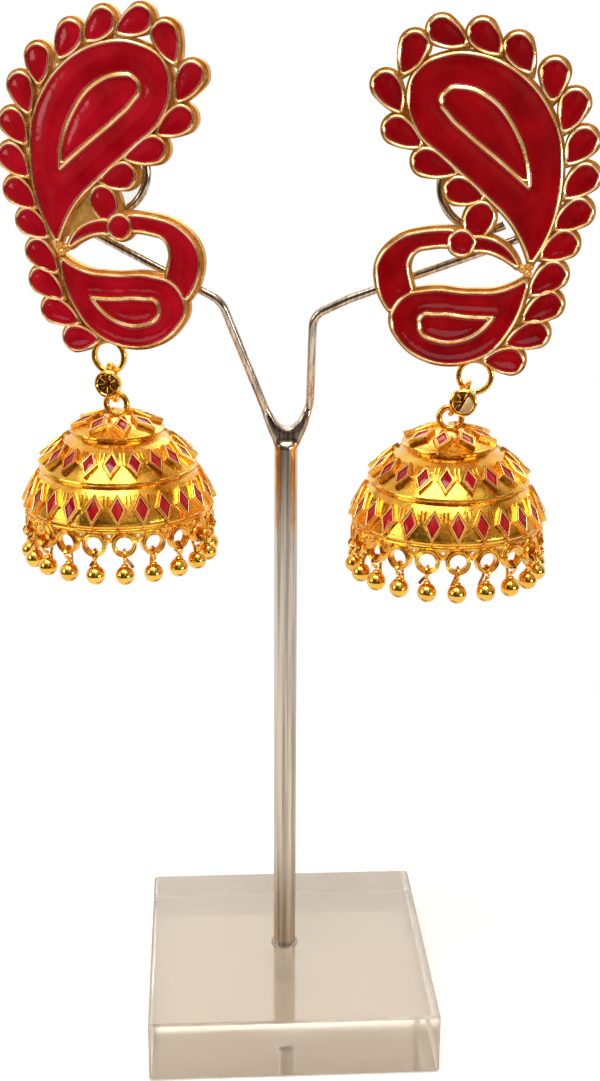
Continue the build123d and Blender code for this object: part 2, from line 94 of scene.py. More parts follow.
def add(tree: Tree, kind: str, values: dict | None = None) -> Node:
    """Adds one node with its settings and links.

    Args:
        tree: the material's or world's node tree.
        kind: Blender's name for the node type, without "ShaderNode".
        values: the node's own settings by name, and by an input's name or number either its
            value, with a colour as sRGB hex, or the socket or node that feeds it, a node by its
            first output. "stops" holds a colour ramp's positions and hex colours.

    Returns:
        The new node.
    """
    node = tree.nodes.new("ShaderNode" + kind)
    for key, value in (values or {}).items():
        if isinstance(value, (Node, Socket)):
            source = value.outputs[0] if isinstance(value, Node) else value
            tree.links.new(source, node.inputs[key])
        elif key == "stops":
            elements = node.color_ramp.elements
            while len(elements) < len(value):
                elements.new(0.5)
            for element, (position, code) in zip(elements, value):
                element.position = position
                element.color = linear(code)
        elif isinstance(key, str) and hasattr(node, key):
            setattr(node, key, value)
        else:
            node.inputs[key].default_value = linear(value) if isinstance(value, str) else value
    return node


@dataclass(frozen=True)
class Finish:
    """Base of every finish: one material whose patterns follow Object coordinates."""

    name: str

    def build(self) -> Material:
        """Makes the material.

        Returns:
            The material, with the finish's own shader as its surface.
        """
        material = bpy.data.materials.new(self.name)
        material.use_nodes = True
        material.node_tree.nodes.clear()
        node = partial(add, material.node_tree)
        spot = node("TexCoord").outputs["Object"]
        node("OutputMaterial", {"Surface": self.shader(node, spot)})
        return material

    def shader(self, node: AddNode, spot: Socket) -> Node:
        """Adds the nodes of the surface.

        Args:
            node: adds a node to the material.
            spot: Object coordinates.

        Returns:
            The node whose first output is the surface.
        """
        raise NotImplementedError


@dataclass(frozen=True)
class Gilt(Finish):
    """Gold-plated cast brass, whose dimples and soft wrinkles break up its highlights.

    The skin of such a casting is pitted at about 0.1 mm, which is too fine to show, so its grain
    is drawn at the coarser size given here.
    """

    bright: str
    deep: str
    rough: tuple[float, float]
    grain: float
    dimple: float
    mottle: float = 0.0
    lacquer: float = 0.0
    patch: float = 3.2

    def shader(self, node: AddNode, spot: Socket) -> Node:
        """Adds worn patches of colour, grain in the gloss and dimples.

        Args:
            node: adds a node to the material.
            spot: Object coordinates.

        Returns:
            The shader.
        """
        patches = node("TexNoise", {"Scale": 1 / (self.patch * MM), "Detail": 2.0, "Vector": spot})
        grain = node("TexNoise", {"Scale": 1 / (self.grain * MM), "Detail": 3.0, "Roughness": 0.6,
                                  "Vector": spot})
        wave = node("TexNoise", {"Scale": 1 / (self.grain * 3.2 * MM), "Detail": 1.0,
                                 "Distortion": 0.6, "Vector": spot})
        colour = node("ValToRGB", {"stops": ((0.35, self.deep), (0.65, self.bright)), 0: patches})
        rough = node("MapRange", {"From Min": 0.3, "From Max": 0.7, "To Min": self.rough[0],
                                  "To Max": self.rough[1], "Value": grain})
        mottled = node("Math", {"operation": "MULTIPLY_ADD", 1: self.mottle, 0: wave, 2: rough})
        height = node("Math", {"operation": "MULTIPLY_ADD", 1: 0.35, 0: grain, 2: wave})
        bump = node("Bump", {"Strength": 1.0, "Distance": self.dimple * MM, "Height": height})
        return node("BsdfPrincipled", {"Metallic": 1.0, "Coat Weight": self.lacquer,
                                       "Coat Roughness": 0.12, "Base Color": colour,
                                       "Roughness": mottled, "Normal": bump})


@dataclass(frozen=True)
class GlassEnamel(Finish):
    """Fired red enamel, poured into the cells: wet-looking, and paler where it lies thin.

    It pools over about 6 mm and its surface dips over about 1.6 mm, as poured enamel does.
    """

    deep: str
    lit: str

    def shader(self, node: AddNode, spot: Socket) -> Node:
        """Adds the pools of colour and the dips of the surface.

        Args:
            node: adds a node to the material.
            spot: Object coordinates.

        Returns:
            The shader.
        """
        pool = node("TexNoise", {"Scale": 1 / (6.0 * MM), "Detail": 2.5, "Vector": spot})
        swirl = node("TexNoise", {"Scale": 1 / (1.6 * MM), "Detail": 1.0, "Vector": spot})
        colour = node("ValToRGB", {"stops": ((0.32, self.deep), (0.7, self.lit)), 0: pool})
        bump = node("Bump", {"Strength": 0.5, "Distance": 0.06 * MM, "Height": swirl})
        return node("BsdfPrincipled", {"Roughness": 0.09, "IOR": 1.52, "Specular IOR Level": 0.42,
                                       "Base Color": colour, "Normal": bump})


@dataclass(frozen=True)
class DrawnSteel(Finish):
    """Bright drawn steel: die lines run along it, and it is more worn towards the foot.

    Real die lines are some 0.05 mm apart, too fine to show, so they are drawn at 0.5 mm.
    """

    name: str = "drawn steel"

    def shader(self, node: AddNode, spot: Socket) -> Node:
        """Adds the die lines and the wear.

        Args:
            node: adds a node to the material.
            spot: Object coordinates.

        Returns:
            The shader.
        """
        turn = node("Mapping", {"Scale": (1.0, 1.0, 0.015), "Vector": spot})
        lines = node("TexNoise", {"Scale": 1 / (0.5 * MM), "Detail": 3.0, "Vector": turn})
        axes = node("SeparateXYZ", {0: spot})
        colour = node("ValToRGB", {"stops": ((0.38, "AA9A88"), (0.6, "DCCFBD")), 0: lines})
        worn = node("MapRange", {"From Min": 20 * MM, "From Max": 100 * MM, "To Min": 0.3,
                                 "To Max": 0.13, "Value": axes.outputs["Z"]})
        rough = node("Math", {"operation": "MULTIPLY_ADD", 1: 0.12, 0: lines, 2: worn})
        bump = node("Bump", {"Strength": 0.5, "Distance": 0.008 * MM, "Height": lines})
        return node("BsdfPrincipled", {"Metallic": 1.0, "Base Color": colour, "Roughness": rough,
                                       "Normal": bump})


@dataclass(frozen=True)
class CastAcrylic(Finish):
    """Clear cast acrylic, with hand smears about 14 mm wide that dull its gloss a little."""

    tint_and_seen_backdrop: str
    haze: float
    transmission: float

    def shader(self, node: AddNode, spot: Socket) -> Node:
        """Adds the smears to clear plastic.

        Args:
            node: adds a node to the material.
            spot: Object coordinates.

        Returns:
            The shader.
        """
        smear = node("TexNoise", {"Scale": 1 / (14 * MM), "Detail": 1.0, "Vector": spot})
        rough = node("MapRange", {"From Min": 0.35, "From Max": 0.65, "To Min": self.haze,
                                  "To Max": self.haze + 0.08, "Value": smear})
        bump = node("Bump", {"Strength": 0.3, "Distance": 0.05 * MM, "Height": smear})
        return node("BsdfPrincipled", {"Base Color": self.tint_and_seen_backdrop, "IOR": 1.49,
                                       "Transmission Weight": self.transmission, "Roughness": rough,
                                       "Normal": bump})


@dataclass(frozen=True)
class WhiteSweep(Finish):
    """Matt white paper that keeps the part's shadow and turns to plain white further out."""

    name: str = "white sweep"

    def shader(self, node: AddNode, spot: Socket) -> Node:
        """Adds the matt floor and the white beyond it.

        Args:
            node: adds a node to the material.
            spot: Object coordinates.

        Returns:
            The shader.
        """
        ray = node("LightPath")
        direct = node("Math", {"operation": "MAXIMUM", 0: ray.outputs["Is Camera Ray"],
                               1: ray.outputs["Is Transmission Ray"]})
        seen = node("Math", {"operation": "MAXIMUM", 0: direct, 1: ray.outputs["Is Glossy Ray"]})
        far = node("VectorMath", {"operation": "LENGTH", 0: spot})
        fade = node("MapRange", {"interpolation_type": "SMOOTHSTEP", "From Min": 0.05,
                                 "From Max": 0.17, "Value": far.outputs["Value"]})
        amount = node("Math", {"operation": "MULTIPLY", 0: seen, 1: fade})
        matt = node("BsdfDiffuse", {"Color": "F4F1EC"})
        strength = node("Math", {"operation": "MULTIPLY", 1: 0.3, 0: ray.outputs["Is Camera Ray"]})
        lift = node("Emission", {"Color": "FFFFFF", "Strength": strength})
        near = node("AddShader", {0: matt, 1: lift})
        white = node("Emission", {"Color": "FFFFFF", "Strength": 1.0})
        return node("MixShader", {0: amount, 1: near, 2: white})


class Finishes:
    """Every material of the part, built once."""

    def __init__(self) -> None:
        """Builds the materials."""
        # Hand-buffed after plating: a soft pale shine runs along the rims of the plates, partly
        # from the polish and partly a painted highlight in the paler colour.
        self.rim_gilt_and_highlight = Gilt(
            "polished gilt rim with painted highlight", "FFD6A2", "F3B468", (0.16, 0.30), 0.5, 0.03).build()
        # Left as it was cast: the plate's back and grounds look matt, pebbled and a little brown.
        self.pebbled_gilt = Gilt(
            "pebbled gilt casting", "EEBA68", "D2923E", (0.42, 0.6), 0.28, 0.1).build()
        # Dipped bright and lacquered: strong yellow mirrors, broken by the wavy casting.
        self.bell_gilt = Gilt("bright gilt dome", "FFC64A", "F0A430", (0.10, 0.24), 0.5, 0.075,
                              mottle=0.1, lacquer=0.35).build()
        # Polished gilt, paler than the dome: its pale colour is partly its own and partly painted
        # highlight, so the collets' lips stand out.
        self.lip_gilt_and_highlight = Gilt(
            "pale gilt with painted highlight", "FFE2A8", "FBCC80", (0.30, 0.42), 0.5, 0.02).build()
        # Tumbled smooth: each ball holds one small sharp highlight.
        self.ball_gilt = Gilt("burnished gilt bead", "FFCE58", "F6B642", (0.10, 0.20), 1.2, 0.02,
                              lacquer=0.3).build()
        # Painted shade: the hollow of a link's head is painted dark brown, standing in for the
        # shade inside it.
        self.hollow_shade_gilt = Gilt(
            "brass hollow with painted shade", "A0703A", "5A3418", (0.35, 0.6), 0.4, 0.1).build()
        # One batch of glass for each plate and one for the bells: three reds, all glossy.
        self.enamel_left = GlassEnamel("red enamel", "8E0410", "AE0C1E").build()
        self.enamel_right = GlassEnamel("deep red enamel", "780008", "9A030D").build()
        self.enamel_bell = GlassEnamel("bright red enamel", "980410", "BA0E1A").build()
        # Pulled through a die: streaks of light run the length of the post and the arms.
        self.steel = DrawnSteel().build()
        # Thick block of clear acrylic, painted cream and a little milky as a painted reflection of
        # the beige backdrop seen through it, with clear gloss on its faces.
        self.acrylic = CastAcrylic("acrylic with painted backdrop reflection", "E3D6C4", 0.05, 0.78).build()
        # Thin mouldings and cement: nearly invisible but for their edges.
        self.clear = CastAcrylic("clear moulded plastic", "FAFAF6", 0.03, 1.0).build()


# --- meshes ---
def copied(node: bpy.types.Object) -> Mesh:
    """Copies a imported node's mesh and joins its loose triangles.

    Args:
        node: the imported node's object.

    Returns:
        The joined mesh.
    """
    bm = bmesh.new()
    bm.from_mesh(node.data)
    bmesh.ops.remove_doubles(bm, verts=bm.verts, dist=0.002 * MM)
    return bm


def as_object(name: str, bm: Mesh) -> bpy.types.Object:
    """Makes an object of a mesh and puts it in the scene.

    Args:
        name: the object's name.
        bm: the mesh, which is freed.

    Returns:
        The new object.
    """
    mesh = bpy.data.meshes.new(name)
    bm.to_mesh(mesh)
    bm.free()
    thing = bpy.data.objects.new(name, mesh)
    bpy.context.scene.collection.objects.link(thing)
    return thing


def piece(name: str, bm: Mesh, materials: list[Material], body: str,
          replaced: list[str], crease: float = 32.0) -> None:
    """Turns a finished mesh into a piece that rides on a body.

    Args:
        name: the piece's name.
        bm: the mesh, which is freed.
        materials: the piece's materials, by slot.
        body: the body it rides on.
        replaced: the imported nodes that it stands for.
        crease: angle in degrees above which an edge stays sharp.
    """
    for face in bm.faces:
        face.smooth = True
    for edge in bm.edges:
        if len(edge.link_faces) == 2:
            edge.smooth = edge.calc_face_angle(0.0) < math.radians(crease)
    thing = as_object(name, bm)
    for material in materials:
        thing.data.materials.append(material)
    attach(thing, body)
    if replaced:
        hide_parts(*replaced)
    LOG.info("%s: %d faces on %s", name, len(thing.data.polygons), body)


def absorb(bm: Mesh, other: Mesh, matrix: Matrix | None = None, slot: int | None = None) -> None:
    """Adds another mesh into bm and frees it.

    Args:
        bm: the mesh that grows.
        other: the mesh to add.
        matrix: where to place it.
        slot: material slot for all its faces, or None where it has its own slots.
    """
    if matrix is not None:
        bmesh.ops.transform(other, matrix=matrix, verts=other.verts)
    if slot is not None:
        for face in other.faces:
            face.material_index = slot
    scratch = bpy.data.meshes.new("scratch")
    other.to_mesh(scratch)
    other.free()
    bm.from_mesh(scratch)
    bpy.data.meshes.remove(scratch)


def moved(x: float, y: float, z: float) -> Matrix:
    """Shift by so many millimetres."""
    return Matrix.Translation((x * MM, y * MM, z * MM))


def turned(degrees: float, axis: str) -> Matrix:
    """Turn about one of the axes."""
    return Matrix.Rotation(math.radians(degrees), 4, axis)


def started(create: Callable, **sizes: float) -> Mesh:
    """Starts a mesh from a simple shape.

    Args:
        create: the operator that creates the shape.
        sizes: the operator's settings.

    Returns:
        The new mesh.
    """
    bm = bmesh.new()
    create(bm, **sizes)
    return bm


def frame_at(x: Vector, y: Vector, z: Vector, origin: Vector) -> Matrix:
    """Puts a place together from its axes.

    Args:
        x: direction of its x axis.
        y: direction of its y axis.
        z: direction of its z axis.
        origin: its origin, in metres.

    Returns:
        The place as a matrix.
    """
    place = Matrix((x, y, z)).transposed().to_4x4()
    place.translation = origin
    return place


def spun(bm: Mesh, steps: int) -> Mesh:
    """Spins a profile one full turn round the Z axis.

    Args:
        bm: the profile, which becomes the turned mesh.
        steps: segments of the full turn.

    Returns:
        The turned mesh, joined up and with its faces outwards.
    """
    bmesh.ops.spin(bm, geom=[*bm.verts, *bm.edges], cent=(0, 0, 0), axis=(0, 0, 1),
                   angle=math.tau, steps=steps, use_merge=True)
    bmesh.ops.remove_doubles(bm, verts=bm.verts, dist=1e-7)
    bmesh.ops.recalc_face_normals(bm, faces=bm.faces)
    return bm


def lathe(outline: list[tuple[float, float]], steps: int) -> Mesh:
    """Turns an outline round the Z axis.

    Args:
        outline: points of radius and height, in millimetres.
        steps: segments of the full turn.

    Returns:
        The turned mesh, closed where the outline meets the axis.
    """
    bm = bmesh.new()
    points = [bm.verts.new((r * MM, 0, z * MM)) for r, z in outline]
    for a, b in zip(points, points[1:]):
        bm.edges.new((a, b))
    return spun(bm, steps)


def torus(radius: float, wire: float, around: int, across: int) -> Mesh:
    """Makes a ring of round wire about the Z axis.

    Args:
        radius: radius of the wire's centre line, in millimetres.
        wire: radius of the wire, in millimetres.
        around: segments round the ring.
        across: sides of the wire.

    Returns:
        The ring.
    """
    bm = started(bmesh.ops.create_circle, cap_ends=False, segments=across, radius=wire * MM)
    bmesh.ops.transform(bm, matrix=moved(radius, 0, 0) @ turned(90, "X"), verts=bm.verts)
    return spun(bm, around)


def wire_along(points: list[Vector], radius: float, sides: int = 1, closed: bool = False,
               steps: int = 2) -> Mesh:
    """Runs round wire along a smooth line through a few control points.

    Args:
        points: control points of the line, in metres.
        radius: radius of the wire, in metres.
        sides: bevel resolution of the wire.
        closed: whether the line is a closed loop.
        steps: segments between two control points.

    Returns:
        The wire, with capped ends where it is open.
    """
    curve = bpy.data.curves.new("wire", "CURVE")
    curve.dimensions = "3D"
    curve.bevel_depth = radius
    curve.bevel_resolution = sides
    curve.use_fill_caps = not closed
    curve.resolution_u = steps
    line = curve.splines.new("NURBS")
    line.points.add(len(points) - 1)
    for spot, point in zip(line.points, points):
        spot.co = (*point, 1.0)
    line.use_cyclic_u = closed
    line.use_endpoint_u = not closed
    line.order_u = 3
    holder = bpy.data.objects.new("wire", curve)
    mesh = bpy.data.meshes.new_from_object(holder)
    bm = bmesh.new()
    bm.from_mesh(mesh)
    bmesh.ops.remove_doubles(bm, verts=bm.verts, dist=1e-7)
    bpy.data.objects.remove(holder)
    bpy.data.curves.remove(curve)
    bpy.data.meshes.remove(mesh)
    return bm


def thicken(bm: Mesh, shift: Point) -> None:
    """Extrudes a flat face into a closed block.

    Args:
        bm: the mesh, which holds that face alone.
        shift: way from the face to its copy, in metres.
    """
    grown = bmesh.ops.extrude_face_region(bm, geom=list(bm.faces))["geom"]
    bmesh.ops.translate(bm, vec=shift,
                        verts=[item for item in grown if isinstance(item, bmesh.types.BMVert)])
    bmesh.ops.recalc_face_normals(bm, faces=bm.faces)


def round_off(bm: Mesh, edges: list[bmesh.types.BMEdge], width: float, segments: int) -> None:
    """Rounds off some edges.

    Args:
        bm: the mesh.
        edges: the edges to round.
        width: how far the rounding reaches from each edge, in millimetres.
        segments: facets across it.
    """
    bmesh.ops.bevel(bm, geom=edges, offset=width * MM, offset_type="OFFSET", segments=segments,
                    profile=0.5, affect="EDGES", material=-1, clamp_overlap=True)


def cut(bm: Mesh, point: Point | Vector, facing: Point | Vector, clear: bool = True,
        snap: float = 1e-8) -> None:
    """Cuts a mesh with a plane.

    Args:
        bm: the mesh.
        point: a point of the plane, in metres.
        facing: the plane's normal.
        clear: whether the side that the plane faces is taken away.
        snap: distance within which a point counts as on the plane, in metres.
    """
    bmesh.ops.bisect_plane(bm, geom=[*bm.verts, *bm.edges, *bm.faces], dist=snap, plane_co=point,
                           plane_no=facing, clear_outer=clear)


def rhombus_collet(width: float, height: float, depth: float) -> Mesh:
    """Makes one cast setting: a rhombus block whose pocket has a raised lip.

    Args:
        width: width of the pocket, in millimetres.
        height: height of the pocket, in millimetres.
        depth: depth of the block below its face, in millimetres.

    Returns:
        The block with its face on z = 0 and the lip in material slot 1.
    """
    # Each level: reach beyond the pocket's corners across and up, height, slot of its walls.
    levels = ((0.64, 0.79, -0.1, 0), (0.57, 0.70, -0.02, 0), (0.46, 0.56, -0.02, 0),
              (0.42, 0.52, -0.2, 0), (0.29, 0.37, -0.2, 0), (0.25, 0.32, 0.03, 1),
              (0.19, 0.25, 0.08, 1), (0.08, 0.11, 0.08, 1), (0.02, 0.03, 0.02, 1),
              (0.0, 0.0, -0.3, 0))
    bm = started(bmesh.ops.create_cone, cap_ends=True, segments=4, radius1=1.0, radius2=1.0,
                 depth=depth * MM)
    bmesh.ops.translate(bm, vec=(0, 0, (levels[0][2] - depth / 2) * MM), verts=bm.verts)
    face = max(bm.faces, key=lambda side: side.calc_center_median().z)
    corners = list(bm.verts)
    wide, tall = 1.0, 1.0
    for i, (across, up, level, slot) in enumerate(levels):
        if i:
            face = bmesh.ops.extrude_discrete_faces(bm, faces=[face])["faces"][0]
            corners = list(face.verts)
        new_wide, new_tall = (width / 2 + across) * MM, (height / 2 + up) * MM
        bmesh.ops.scale(bm, vec=(new_wide / wide, new_tall / tall, 1), verts=corners)
        bmesh.ops.translate(bm, vec=(0, 0, level * MM - face.verts[0].co.z), verts=corners)
        wide, tall = new_wide, new_tall
        for wall in {side for edge in face.edges for side in edge.link_faces} - {face}:
            wall.material_index = slot
    face.material_index = 0
    bmesh.ops.recalc_face_normals(bm, faces=bm.faces)
    return bm


def boundary_loops(bm: Mesh, facing: Vector) -> list[Loop]:
    """Walks round the top faces of every solid in a mesh.

    Args:
        bm: the mesh.
        facing: direction that the top faces look in.

    Returns:
        For each closed loop, its points in order with the direction away from the top face.
    """
    links: dict = {}
    for edge in bm.edges:
        sides = [face.normal.dot(facing) > 0.9 for face in edge.link_faces]
        if len(sides) == 2 and sides[0] != sides[1]:
            wall = edge.link_faces[1] if sides[0] else edge.link_faces[0]
            for vert in edge.verts:
                links.setdefault(vert, []).append((edge.other_vert(vert), wall.normal.copy()))
    loops, seen = [], set()
    for start in links:
        loop, here = [], start if start not in seen else None
        while here is not None:
            seen.add(here)
            away = sum((normal for _, normal in links[here]), Vector())
            loop.append((here.co.copy(), away.normalized() / max(0.35, away.length / 2)))
            here = next((vert for vert, _ in links[here] if vert not in seen), None)
        if len(loop) > 8:
            loops.append(loop)
    return loops


def outline_area(points: list[Vector]) -> float:
    """Area inside a flat closed outline."""
    return sum(((a - points[0]).cross(b - points[0]) for a, b in zip(points[1:], points[2:])),
               Vector()).length / 2


# --- the bell and its drops ---
@dataclass(frozen=True)
class Tier:
    """One row of settings: its place on the dome, the enamel's size and the settings' number.

    `lean` is the slope's lean back from upright, `turn` that of the first setting round the bell,
    `rib` the length of the ribs between two settings, and `stand` how far a face stands up.
    """

    radius: float
    z: float
    lean: float
    width: float
    height: float
    count: int
    turn: float
    rib: float
    stand: float


@dataclass
class BellDetails:
    """Fine cast work of the bell: collets, grains, ribs, rolled lips and the rings' wires."""

    turn: float
    tiers: tuple[Tier, ...] = (
        Tier(5.2, 14.65, 66.0, 1.8, 3.5, 8, 6.5, 0.0, 5.0),
        Tier(10.95, 9.7, 42.0, 1.8, 3.6, 19, -8.0, 2.4, 8.0),
        Tier(14.6, 3.35, 23.0, 1.9, 3.85, 24, -3.5, 2.4, 5.0))
    lips: tuple[Point, ...] = (
        (7.42, 13.0, 0.36), (12.76, 7.05, 0.36), (15.1, 0.95, 0.46), (15.12, 0.05, 0.3))
    collet_depth: float = 1.5
    face_lift: float = 0.22
    hinge_up: float = 0.6
    grain: float = 0.3
    grain_down: float = 1.0
    grain_sink: float = 0.45
    rib_size: tuple[float, float] = (0.3, 0.6)
    rib_at: Point = (0.32, 1.2, -0.42)
    rib_round: float = 0.09
    enamel_thick: float = 0.2
    enamel_sink: float = 0.3
    enamel_round: float = 0.22
    rings: int = 20
    ring_at: float = 15.0
    ring_z: float = -2.2
    ring_wire: float = 0.17
    ring_wires: tuple[float, ...] = (1.86, 1.5)
    ring_half: float = 0.46
    v_wire: float = 0.2
    v_line: tuple[Point, ...] = ((1.25, -0.25, 0.3), (0.6, -0.95, 0.36), (0.1, -1.75, 0.3))

    def build(self) -> Mesh:
        """Builds all the details in the bell's own frame.

        Returns:
            The mesh, with slot 0 for the dome's gilt and slot 1 for the lips of the collets,
            painted paler as highlight.
        """
        bm = bmesh.new()
        for tier, turn in self.settings():
            self.add_setting(bm, tier, turn)
        for radius, z, wire in self.lips:
            absorb(bm, torus(radius, wire, 96, 8), moved(0, 0, z))
        for i in range(self.rings):
            self.add_ring_wires(bm, self.turn + 360 / self.rings * i)
        return bm

    def settings(self) -> Iterator[tuple[Tier, float]]:
        """Goes through all the settings.

        Yields:
            Each setting's tier and its turn in degrees round the bell.
        """
        for tier in self.tiers:
            for i in range(tier.count):
                yield tier, self.turn + tier.turn + 360 / tier.count * i

    def on_dome(self, radius: float, z: float, turn: float, lean: float) -> Matrix:
        """Frame on the bell's outside: x round the bell, y up its slope, z outwards.

        Args:
            radius: distance from the bell's axis.
            z: height above the lip.
            turn: degrees round the bell from the front.
            lean: degrees that the surface leans back from upright.

        Returns:
            The frame.
        """
        return turned(turn, "Z") @ moved(0, -radius, z) @ turned(90 - lean, "X")

    def setting_face(self, tier: Tier, turn: float) -> Matrix:
        """Frame of one setting's face, a little more upright than the slope under it.

        Args:
            tier: the row that the setting belongs to.
            turn: degrees round the bell.

        Returns:
            The frame, raised at its lower end.
        """
        hinge = moved(0, tier.height / 2 + self.hinge_up, 0)
        return (self.on_dome(tier.radius, tier.z, turn, tier.lean) @ moved(0, 0, self.face_lift)
                @ hinge @ turned(-tier.stand, "X") @ hinge.inverted())

    def add_setting(self, bm: Mesh, tier: Tier, turn: float) -> None:
        """Adds the collet, the grain under it and the two ribs beside it.

        Args:
            bm: the mesh that grows.
            tier: the row that the setting belongs to.
            turn: degrees round the bell.
        """
        absorb(bm, rhombus_collet(tier.width, tier.height, self.collet_depth),
               self.setting_face(tier, turn))
        grain = started(bmesh.ops.create_uvsphere, u_segments=8, v_segments=5,
                        radius=self.grain * MM)
        absorb(bm, grain, self.on_dome(tier.radius, tier.z, turn, tier.lean)
               @ moved(0, -(tier.height / 2 + self.grain_down), -self.grain_sink))
        between = self.on_dome(tier.radius, tier.z, turn + 180 / tier.count, tier.lean)
        wide, thick = self.rib_size
        aside, up, out = self.rib_at
        for shift in (-aside, aside) if tier.rib else ():
            rib = started(bmesh.ops.create_cube, size=1.0)
            bmesh.ops.scale(rib, vec=(wide * MM, tier.rib * MM, thick * MM), verts=rib.verts)
            round_off(rib, list(rib.edges), self.rib_round, 1)
            absorb(bm, rib, between @ moved(shift, up, out))

    def add_ring_wires(self, bm: Mesh, turn: float) -> None:
        """Adds the round wires on both faces of one cast ring and the V beside it.

        Args:
            bm: the mesh that grows.
            turn: degrees round the bell.
        """
        between = self.on_dome(self.ring_at, 0, turn + 180 / self.rings, 0)
        for side in (-1, 1):
            leg = [Vector((side * x * MM, y * MM, z * MM)) for x, y, z in self.v_line]
            absorb(bm, wire_along(leg, self.v_wire * MM), between)
        face = self.on_dome(self.ring_at, self.ring_z, turn, 0)
        for radius in self.ring_wires:
            for height in (-self.ring_half, self.ring_half):
                absorb(bm, torus(radius, self.ring_wire, 22, 6), face @ moved(0, 0, height))

    def build_enamel(self) -> Mesh:
        """Builds the enamel in every setting, each a low cushion.

        Returns:
            The mesh, in the bell's own frame.
        """
        bm = bmesh.new()
        for tier, turn in self.settings():
            fill = started(bmesh.ops.create_circle, cap_ends=True, segments=4, radius=1.0)
            bmesh.ops.scale(fill, vec=(tier.width / 2 * MM, tier.height / 2 * MM, 1),
                            verts=fill.verts)
            thicken(fill, (0, 0, self.enamel_thick * MM))
            top = [edge for edge in fill.edges
                   if all(vert.co.z > self.enamel_thick / 2 * MM for vert in edge.verts)]
            round_off(fill, top, self.enamel_round, 3)
            absorb(bm, fill, self.setting_face(tier, turn) @ moved(0, 0, -self.enamel_sink))
        return bm


@dataclass
class BallDrop:
    """A burnished ball on a head pin whose open hook hangs in a cast ring, with a free tail."""

    side: int
    splay: float
    tail: float
    ball: float = 1.55
    ball_z: float = -7.4
    hook_z: float = -4.0
    hook_radius: float = 1.0
    wire: float = 0.26

    def build(self) -> Mesh:
        """Builds the drop with its ring's axis along y.

        Returns:
            The drop's mesh.
        """
        outline = [(0.0, self.ball_z - self.ball)]
        for i in range(1, 12):
            angle = math.pi * i / 12
            outline.append((self.ball * math.sin(angle), self.ball_z - self.ball * math.cos(angle)))
        top = self.ball_z + self.ball
        outline += [(0.52, top - 0.06), (0.6, top + 0.08), (0.52, top + 0.24), (0.3, top + 0.34),
                    (0.0, top + 0.36)]
        bm = lathe(outline, 20)
        points = [(0, 0, top + 0.1), (0, 0, self.hook_z - self.hook_radius + 0.15)]
        for degrees in range(-75, 215, 40):
            angle = math.radians(degrees)
            points.append((0, -self.hook_radius * math.cos(angle),
                           self.hook_z + self.hook_radius * math.sin(angle)))
        away, low = self.side * self.splay, self.hook_z - 0.95
        points += [(away * 0.35, 0.55, low), (away, 0.25, low - self.tail * 0.45),
                   (away * 1.5, 0.1, low - self.tail)]
        absorb(bm, wire_along([Vector(p) * MM for p in points], self.wire * MM, steps=3))
        return bm


# --- the two earrings ---
class Side(Enum):
    """Which earring of the pair."""

    LEFT = "left"
    RIGHT = "right"


@dataclass
class LinkHead:
    """The link's round head: a cast cup whose hollow is crossed by bent claws."""

    side: Side
    radius: float = 2.25
    depth: float = 1.5
    hollow: float = 1.62
    claw_reach: tuple[float, ...] = (1.25, 1.0, 1.4)
    claw_width: float = 0.34
    claw_thick: float = 0.3
    claw_drop: float = 0.3
    claw_round: float = 0.08
    disc_lean: float = -22.0
    disc_thick: float = 0.5
    disc_cut: float = 0.12
    disc_round: float = 0.14

    def build(self) -> Mesh:
        """Builds the head with its back on z = 0.

        Returns:
            The head, with the hollow, painted dark brown as shade, in slot 1 and the half disc in
            slot 2.
        """
        bm = self.build_cup()
        right = self.side is Side.RIGHT
        turns = (100, 150, 195, 240) if right else (20, 60, 125, 170, 215, 265, 310)
        for i, turn in enumerate(turns):
            self.add_claw(bm, turn, self.claw_reach[i % len(self.claw_reach)])
        if right:
            self.add_half_disc(bm)
        return bm

    def build_cup(self) -> Mesh:
        """Turns the cup with its rolled edge.

        Returns:
            The cup, with its hollow in slot 1.
        """
        r, d, h = self.radius, self.depth, self.hollow
        cup = lathe([(0, 0), (r - 0.5, 0), (r - 0.15, 0.16), (r, 0.5), (r, d - 0.45),
                     (r - 0.1, d - 0.14), (r - 0.3, d), (h + 0.12, d), (h, d - 0.12),
                     (h - 0.1, 0.72), (h - 0.5, 0.5), (0, 0.42)], 36)
        # The hollow's faces take slot 1, painted dark brown as shade.
        for face in cup.faces:
            middle = face.calc_center_median()
            if middle.z > 0.3 * MM and math.hypot(middle.x, middle.y) < h * MM:
                face.material_index = 1
        return cup

    def add_claw(self, bm: Mesh, turn: float, reach: float) -> None:
        """Adds one claw that leans from the edge into the hollow.

        Args:
            bm: the head that grows.
            turn: degrees round the head.
            reach: length of the claw.
        """
        claw = started(bmesh.ops.create_cube, size=1.0)
        bmesh.ops.scale(claw, vec=(reach * MM, self.claw_width * MM, self.claw_thick * MM),
                        verts=claw.verts)
        tips = [vert for vert in claw.verts if vert.co.x < 0]
        bmesh.ops.scale(claw, vec=(1.0, 0.45, 0.7), verts=tips)
        bmesh.ops.translate(claw, vec=(0, 0, -self.claw_drop * MM), verts=tips)
        round_off(claw, list(claw.edges), self.claw_round, 2)
        absorb(bm, claw, turned(turn, "Z")
               @ moved(self.hollow - reach / 2 + 0.15, 0, self.depth - 0.12))

    def add_half_disc(self, bm: Mesh) -> None:
        """Adds the loose half disc that leans in the right link's hollow.

        Args:
            bm: the head that grows.
        """
        half = started(bmesh.ops.create_circle, cap_ends=True, segments=36,
                       radius=(self.hollow + 0.15) * MM)
        cut(half, (self.disc_cut * MM, 0, 0), (-1, 0, 0))
        thicken(half, (0, 0, self.disc_thick * MM))
        rim = [edge for edge in half.edges if edge.calc_face_angle(0.0) > 1.0
               and all(vert.co.z > self.disc_thick / 2 * MM for vert in edge.verts)]
        round_off(half, rim, self.disc_round, 3)
        absorb(bm, half, moved(0, 0, self.depth - 0.42) @ turned(self.disc_lean, "X"), 2)


